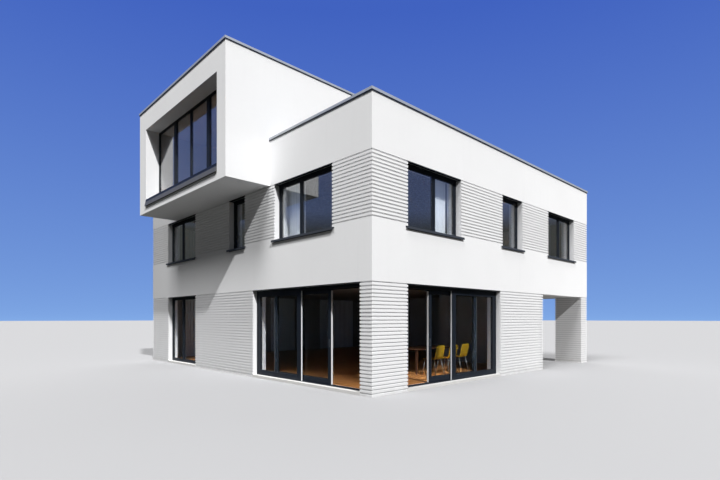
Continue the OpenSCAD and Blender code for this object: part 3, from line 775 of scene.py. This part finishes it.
def make_window_seals():
    pieces = (("front_window", ("front",)), ("left_window", ("left", "left_ground")),
              ("rear_window", ("back", "right")))
    for name, sides in pieces:
        rows = [(place, window_panes(windows, low, high)) for side in sides
                for place, windows, low, high in WINDOW_ROWS[side]]
        window_row(name, rows, REVEAL)
    window_row("box_window", [(on_box, box_panes())], BOX_RECESS)


def make_door_seals(side, place, door):
    """Seals and beads of the fixed light, and those that ride on the leaf."""
    fixed, leaf = side + "_fixed_light", side + "_leaf"
    for name, opening, face, back, body in (
            (fixed, fixed_light(door), FIXED_FACE, FIXED_BACK, "house"),
            (leaf, leaf_light(door), LEAF_FACE, LEAF_BACK, leaf)):
        seals, beads = bmesh.new(), bmesh.new()
        add_seals(seals, beads, place, opening, (face + back - PANE_THICK) / 2, back)
        make_piece(name + "_seals", seals, SEAL, body)
        make_piece(name + "_beads", beads, FINISHES["frame_metal"], body)


# Edge profiles, interlocks and handles of the sliding doors
def make_door_edges(side, place, door):
    """Bright edges on the meeting stile and the leaf's leading stile, and the leaf's interlock."""
    leaf = side + "_leaf"
    fixed, start, end = door.fixed_start, door.leaf_start, door.leaf_start + door.leaf_length
    low, high, proud, wrap = LEAF_BOTTOM + 0.006, LEAF_TOP - 0.034, 0.001, 0.004
    profiles = (
        (side + "_fixed_light_edge", PALE_EDGE, "house", FIXED_BOTTOM, DOOR_TOP,
         chamfered(fixed - proud, fixed + wrap, FIXED_FACE + 0.010, FIXED_BACK - 0.016, 0.0008)),
        (leaf + "_edge", PALE_EDGE, leaf, low, high,
         chamfered(start - proud, start + wrap, LEAF_FACE + 0.006, LEAF_BACK - 0.010, 0.0008)),
        (leaf + "_interlock", BRUSHED, leaf, low, high,
         chamfered(end - 0.016, end - proud, LEAF_FACE - 0.009, LEAF_FACE + proud, 0.002)),
    )
    for name, finish, body, foot, top, section in profiles:
        mesh = bmesh.new()
        add_post(mesh, place, foot, top, section)
        make_piece(name, mesh, finish, body)


def make_door_handle(side, place, door):
    """Pull handle inside and a flush cup outside, on the leading stile."""
    mesh = bmesh.new()
    u = door.leaf_start + STILE_WIDE / 2
    low, high, reach, thick = 0.93, 1.27, 0.048, 0.011
    grip = [(u + thick * math.cos(t), LEAF_BACK + reach + thick * math.sin(t))
            for t in (math.pi * k / 6 for k in range(12))]
    add_post(mesh, place, low, high, grip)
    for z in (low + 0.04, high - 0.04):
        add_tube(mesh, place(u, LEAF_BACK - 0.002, z), place(u, LEAF_BACK + reach, z), 0.008)
    plate_low, plate_high = 0.99, 1.21
    plate = chamfered(u - 0.019, u + 0.019, LEAF_BACK - 0.001, LEAF_BACK + 0.004, 0.002)
    add_post(mesh, place, plate_low, plate_high, plate)
    cup_low, cup_high, cup_half = 1.00, 1.18, 0.020
    add_ring(mesh, place, (u - cup_half, u + cup_half, cup_low, cup_high), [
        (0.0, LEAF_FACE + 0.001), (0.0, LEAF_FACE - 0.0015), (0.002, LEAF_FACE - 0.002),
        (0.005, LEAF_FACE - 0.002), (0.006, LEAF_FACE + 0.001)])
    make_piece(side + "_leaf_handle", mesh, BRUSHED, side + "_leaf")


# Bottom rails of the blinds, drawn up into their slots
def make_blind_rails():
    mesh = bmesh.new()
    for rows in WINDOW_ROWS.values():
        for place, windows, _, head in rows:
            for start, width, _ in windows:
                add_blind_rail(mesh, place, start, start + width, REVEAL, head)
    for _, place, door in DOORS:
        add_blind_rail(mesh, place, door.start, door.end, DOOR_REVEAL, GROUND_HEAD)
    make_piece("blind_rails", mesh, BRUSHED)


def add_blind_rail(mesh, place, start, end, depth, head):
    middle, roof = depth / 2, head - COVER_THICK / 2
    half, tall, end_gap = 0.011, 0.013, 0.012
    section = chamfered(middle - half, middle + half, roof - tall, roof, 0.003)
    add_bar(mesh, place, start + end_gap, end - end_gap, section)


# Pale linings of the window openings, inside
def add_lining(mesh, place, start, end, low, high):
    """Boards round an opening that lap over the wall's inner face."""
    back, thick, sunk, lap, inner = REVEAL + FRAME_DEEP, 0.014, 0.0005, 0.030, WALL + 0.001
    section = [(-sunk, back), (thick, back), (thick, LINING_END), (-lap, LINING_END), (-lap, inner),
               (-sunk, inner)]
    add_ring(mesh, place, (start, end, low, high), section)


def make_linings():
    for side in ("front", "left", "back", "right"):
        mesh = bmesh.new()
        for place, windows, low, high in WINDOW_ROWS[side]:
            for start, width, _ in windows:
                add_lining(mesh, place, start, start + width, low, high)
        make_piece(side + "_window_linings", mesh, LINING_PAINT)


def make_door_linings():
    """Boards on the jambs and head of the door openings, inside the frames."""
    mesh = bmesh.new()
    back, thick, end, gap, lap, inner = 0.298, 0.014, LINING_END - 0.020, 0.0005, 0.060, WALL + 0.001
    section = [(gap, back), (thick, back), (thick, end), (-lap, end), (-lap, inner), (gap, inner)]
    jambs = {"front": ((FRONT_DOOR.start, 1), (FRONT_DOOR.end, -1)), "left": ((LEFT_DOOR.end, -1),)}
    for side, place, door in DOORS:
        for u, turn in jambs[side]:
            add_post(mesh, place, BOARDS_TOP, GROUND_HEAD - thick, [(u + turn * w, v) for w, v in section])
        add_bar(mesh, place, door.start, door.end, [(v, GROUND_HEAD - w) for w, v in section])
    make_piece("door_linings", mesh, LINING_PAINT)


# Curtains
def add_curtain_rail(name, place, start, end, deep, ceiling):
    """A slim rail, a little longer than the cloth."""
    mesh = bmesh.new()
    half, tall, longer = 0.011, 0.020, 0.06
    section = chamfered(deep - half, deep + half, ceiling - tall, ceiling, 0.003)
    add_bar(mesh, place, start - longer, end + longer, section)
    return make_piece(name + "_rail", mesh, BRUSHED)


def fold_line(start, end, deep, waves, rng):
    """The line of the cloth seen from above, as (along the wall, depth) points."""
    columns, fold_depth, fold_lean = waves * 12, 0.034, 0.012
    lean = [rng.uniform(0.7, 1.15) for _ in range(waves + 1)]
    line = []
    for k in range(columns + 1):
        share = k / columns
        swing = lean[min(int(share * waves), waves)]
        u = start + (end - start) * share + fold_lean * math.sin(4 * math.pi * waves * share)
        line.append((u, deep + fold_depth * swing * math.sin(2 * math.pi * waves * share)))
    return line


def add_curtain(name, place, start, end, low, ceiling, waves, seed):
    """A net curtain in folds, on a rail under the ceiling."""
    deep, hang, rows = WALL + 0.130, ceiling - 0.022, 8
    rail_piece = add_curtain_rail(name, place, start, end, deep, ceiling)
    line = fold_line(start, end, deep, waves, random.Random(seed))
    mesh = bmesh.new()
    heights = [hang + (low - hang) * row / rows for row in range(rows + 1)]
    join_rows(mesh, [[mesh.verts.new(place(u, v, z)) for u, v in line] for z in heights])
    piece = make_piece(name, mesh, NET, smooth=True)


def make_curtains():
    """Upper curtains drawn aside, and closed ones on the ground windows of the back and right sides."""
    upper, ground = (UPPER_FLOOR + 0.03, UPPER_CEILING), (BOARDS_TOP + 0.02, GROUND_CEILING)
    fold, past = 0.115, 0.10
    runs = [
        ("front_curtain_near", on_front, 2.70, 3.30), ("front_curtain_middle", on_front, 6.78, 7.14),
        ("front_curtain_far", on_front, 10.74, 11.10), ("left_curtain_near", on_left, 0.90, 1.30),
        ("left_curtain_far", on_left, 3.02, 4.16),
        ("back_curtain_a", on_back, 1.10, 1.90), ("back_curtain_b", on_back, 2.70, 3.40),
        ("back_curtain_c", on_back, 6.10, 6.72), ("back_curtain_d", on_back, 8.40, 9.20),
        ("right_curtain_a", on_right, 1.22, 3.80), ("right_curtain_b", on_right, 8.62, 9.42),
        ("right_curtain_c", on_right, 10.46, 11.16),
    ]
    closed = []
    for side, place, tags, windows in (("back", on_back, "abc", FRONT_WINDOWS),
                                       ("right", on_right, "ab", LEFT_WINDOWS[1:])):
        for tag, (start, width, _) in zip(tags, windows):
            closed.append((side + "_ground_curtain_" + tag, place, start - past, start + width + past))
    for seed, (name, place, start, end) in enumerate(runs + closed):
        foot, ceiling = upper if seed < len(runs) else ground
        add_curtain(name, place, start, end, foot, ceiling, max(3, round((end - start) / fold)), seed)


# Floor boards
def add_board(mesh, tone_layer, tone, x0, x1, y0, y1, low, high):
    """One board with eased upper edges and a tone of its own."""
    bevel = 0.0015
    loops = []
    for inset, z in ((0.0, low), (0.0, high - bevel), (bevel, high)):
        left, right, near, far = x0 + inset, x1 - inset, y0 + inset, y1 - inset
        corners = ((left, near), (right, near), (right, far), (left, far))
        loops.append([mesh.verts.new((x, y, z)) for x, y in corners])
    made = []
    for a, b in zip(loops, loops[1:]):
        for k in range(4):
            made.append(mesh.faces.new((a[k], a[(k + 1) % 4], b[(k + 1) % 4], b[k])))
    made.append(mesh.faces.new(loops[-1]))
    for face in made:
        face[tone_layer] = tone


def add_boards(mesh, tone_layer, x0, x1, y0, y1, low, rng):
    """Rows of boards of uneven length over a rectangle."""
    board, gap, shortest = 0.140, 0.0015, 0.05
    rows = max(1, round((y1 - y0) / board))
    width = (y1 - y0) / rows
    for row in range(rows):
        near, far = y0 + row * width, y0 + (row + 1) * width - gap
        x = x0 - rng.uniform(0.0, 1.6)
        while x < x1:
            end = x + rng.uniform(1.3, 2.1)
            left, right = max(x, x0), min(end, x1)
            if right - left > shortest:
                add_board(mesh, tone_layer, rng.random(), left, right - gap, near, far,
                          low, low + BOARD_THICK)
            x = end


def make_floor_boards():
    rng = random.Random(7)
    mesh = bmesh.new()
    tone_layer = mesh.faces.layers.float.new("board_tone")
    low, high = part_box("floor_slab")
    bay, box_wall, box_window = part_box("bay_walls"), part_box("box_back_wall"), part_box("box_window")
    edge = 0.004
    areas = (
        (low.x + edge, bay[0].x - edge, low.y + edge, bay[1].y, FLOOR_TOP),
        (low.x + edge, high.x - edge, bay[1].y, high.y - edge, FLOOR_TOP),
        (-HALF_W + WALL + edge, HALF_W - WALL - edge, low.y + edge, high.y - edge, UPPER_FLOOR),
        (box_window[1].x + edge, box_wall[0].x - edge, box_wall[0].y + edge, box_wall[1].y - edge, ROOF_TOP),
    )
    for area in areas:
        add_boards(mesh, tone_layer, *area, rng)
    make_piece("floor_boards", mesh, FINISHES["parquet"])


# Dining table and chairs behind the front door. A chair is its place along the front, depth and face
TABLE_LOW, TABLE_HIGH = (3.20, 1.40), (5.30, 2.34)
CHAIRS = ((3.65, 0.98, 1), (4.25, 0.96, 1), (4.87, 0.99, 1))


def make_table():
    mesh = bmesh.new()
    (x0, y0), (x1, y1) = TABLE_LOW, TABLE_HIGH
    top, under, easing = BOARDS_TOP + 0.745, BOARDS_TOP + 0.713, 0.004
    loops = []
    for inset, z in ((easing, under), (0.0, under + easing), (0.0, top - easing), (easing, top)):
        edge = chamfered(x0 + inset, x1 - inset, y0 + inset, y1 - inset, 0.03)
        loops.append([on_front(*corner, z) for corner in edge])
    join_loops(mesh, loops, False, True)
    for x in (x0 + 0.10, x1 - 0.10):
        for y in (y0 + 0.09, y1 - 0.09):
            ends = [[on_front(*p, z) for p in chamfered(x - half, x + half, y - half, y + half, 0.006)]
                    for half, z in ((0.026, BOARDS_TOP), (0.036, under))]
            join_loops(mesh, ends, False, True)
    make_piece("dining_table", mesh, TABLE_WOOD)


def chair_profile():
    """Seat front to the top of the back, as (forward, height, half width)."""
    return [(0.430, 0.440, 0.150), (0.420, 0.455, 0.185), (0.360, 0.462, 0.205),
            (0.220, 0.452, 0.212), (0.080, 0.448, 0.205), (0.020, 0.462, 0.198),
            (-0.018, 0.500, 0.192), (-0.040, 0.570, 0.190), (-0.062, 0.670, 0.195),
            (-0.084, 0.770, 0.192), (-0.096, 0.835, 0.178), (-0.100, 0.855, 0.150)]


def add_chair(shells, legs, x, y, face):
    """A moulded shell with curled edges on four spread legs. The face is 1 or -1 along Y."""
    columns, curl_most, thick = 8, 0.018, 0.009
    rows = []
    for forward, height, half in chair_profile():
        row = []
        for k in range(columns + 1):
            side = 2 * k / columns - 1
            curl = curl_most * side * side
            ahead = forward + (curl if forward < 0.0 else 0.0)
            lift = height + (curl * 0.6 if forward >= 0.0 else 0.0)
            row.append(shells.verts.new(on_front(x + side * half, y + face * ahead, BOARDS_TOP + lift)))
        rows.append(row)
    bmesh.ops.solidify(shells, geom=join_rows(shells, rows), thickness=thick)
    for side in (-1, 1):
        for forward, spread in ((0.36, 0.43), (0.04, -0.05)):
            top = on_front(x + side * 0.150, y + face * forward, BOARDS_TOP + 0.450)
            foot = on_front(x + side * 0.205, y + face * spread, BOARDS_TOP)
            add_tube(legs, foot, top, 0.008, 10, 0.011)


def make_chairs():
    shells, legs = bmesh.new(), bmesh.new()
    for x, y, face in CHAIRS:
        add_chair(shells, legs, x, y, face)
    make_piece("chair_shells", shells, YELLOW_SHELL, smooth=True)
    make_piece("chair_legs", legs, BRUSHED, smooth=True)


# Roof vents: their places from the front's left corner and their tops
VENTS = ((2.560, 2.000, 7.060), (7.000, 2.000, 6.980))


def make_vent_caps():
    """A cap on each vent and a collar at its foot, as (radius, height above the vent's top or the roof)."""
    cap = [(0.052, -0.012), (0.062, -0.014), (0.066, 0.0), (0.060, 0.018), (0.040, 0.032), (0.012, 0.038),
           (0.004, 0.038)]
    collar = [(0.130, 0.0), (0.130, 0.006), (0.075, 0.014), (0.062, 0.080), (0.056, 0.082), (0.054, 0.070)]
    mesh = bmesh.new()
    for x, y, top in VENTS:
        for profile, foot in ((cap, top), (collar, ROOF_TOP)):
            add_lathe(mesh, on_front(x, y, 0.0), [(radius, foot + rise) for radius, rise in profile])
    make_piece("vent_caps", mesh, FINISHES["vent_metal"], smooth=True)


# The stage
def make_camera():
    data = bpy.data.cameras.new("camera")
    data.sensor_width = 36.0
    data.lens = CAMERA_LENS
    data.shift_y = CAMERA_SHIFT
    camera = put_in_scene("camera", data)
    camera.location = CAMERA_PLACE
    camera.rotation_euler = (math.radians(90.0), 0.0, math.radians(CAMERA_TURN))
    bpy.context.scene.camera = camera


def make_light(name, comes_from, softness, strength):
    data = bpy.data.lights.new(name, "SUN")
    data.energy = strength
    data.angle = math.radians(softness)
    light = put_in_scene(name, data)
    light.rotation_euler = (-Vector(comes_from)).to_track_quat("-Z", "Y").to_euler()


def backdrop_color(tree, mirrored):
    """Pale at the horizon and blue above, by the direction of the ray. Mirrored, it has a dark foot."""
    up = axes(tree, add_node(tree, "ShaderNodeTexCoord").outputs["Generated"])[2]
    low = mix_color(tree, mirrored, BACKDROP_LOW, MIRRORED_LOW)
    high = mix_color(tree, mirrored, BACKDROP_HIGH, MIRRORED_HIGH)
    rise = math_node(tree, "POWER", ramp(tree, up, 0.0, SKY_RISE), SKY_CURVE)
    foot = mix_color(tree, ramp(tree, up, *FOOT_RISE), MIRRORED_LOWEST, MIRRORED_FOOT)
    is_foot = math_node(tree, "MULTIPLY", ramp(tree, up, *FOOT_END, 1.0, 0.0), mirrored)
    return mix_color(tree, is_foot, mix_color(tree, rise, low, high), foot)


def make_world():
    """A faint even light, and the backdrop for the camera, for mirrors and through the panes."""
    world = bpy.data.worlds.new("studio")
    world.use_nodes = True
    tree = world.node_tree
    tree.nodes.clear()
    path = add_node(tree, "ShaderNodeLightPath")
    given = add_node(tree, "ShaderNodeBackground", {"Color": WORLD_COLOR, "Strength": WORLD_STRENGTH})
    seen = add_node(tree, "ShaderNodeBackground", {"Color": backdrop_color(tree, is_mirrored(tree, path))})
    direct = math_chain(tree, "MAXIMUM", path.outputs["Is Camera Ray"], path.outputs["Is Glossy Ray"],
                        path.outputs["Is Transmission Ray"])
    mix = add_node(tree, "ShaderNodeMixShader", {0: direct, 1: given.outputs[0], 2: seen.outputs[0]})
    add_node(tree, "ShaderNodeOutputWorld", {0: mix.outputs[0]})
    bpy.context.scene.world = world


def make_floor():
    size, drop = 400.0, 0.002
    mesh = bpy.data.meshes.new("studio_floor")
    corners = [(-size, -size, 0.0), (size, -size, 0.0), (size, size, 0.0), (-size, size, 0.0)]
    mesh.from_pydata(corners, [], [(0, 1, 2, 3)])
    mesh.materials.append(floor_material())
    floor = put_in_scene("studio_floor", mesh)
    floor.location.z = -drop


make_camera()
for lamp in LAMPS:
    make_light(*lamp)
make_world()
bpy.context.scene.view_settings.view_transform = "Standard"
make_floor()
dress_cad_nodes()
make_window_seals()
for side, place, door in DOORS:
    make_door_seals(side, place, door)
    make_door_edges(side, place, door)
    make_door_handle(side, place, door)
make_blind_rails()
make_linings()
make_door_linings()
make_curtains()
make_floor_boards()
make_table()
make_chairs()
make_vent_caps()
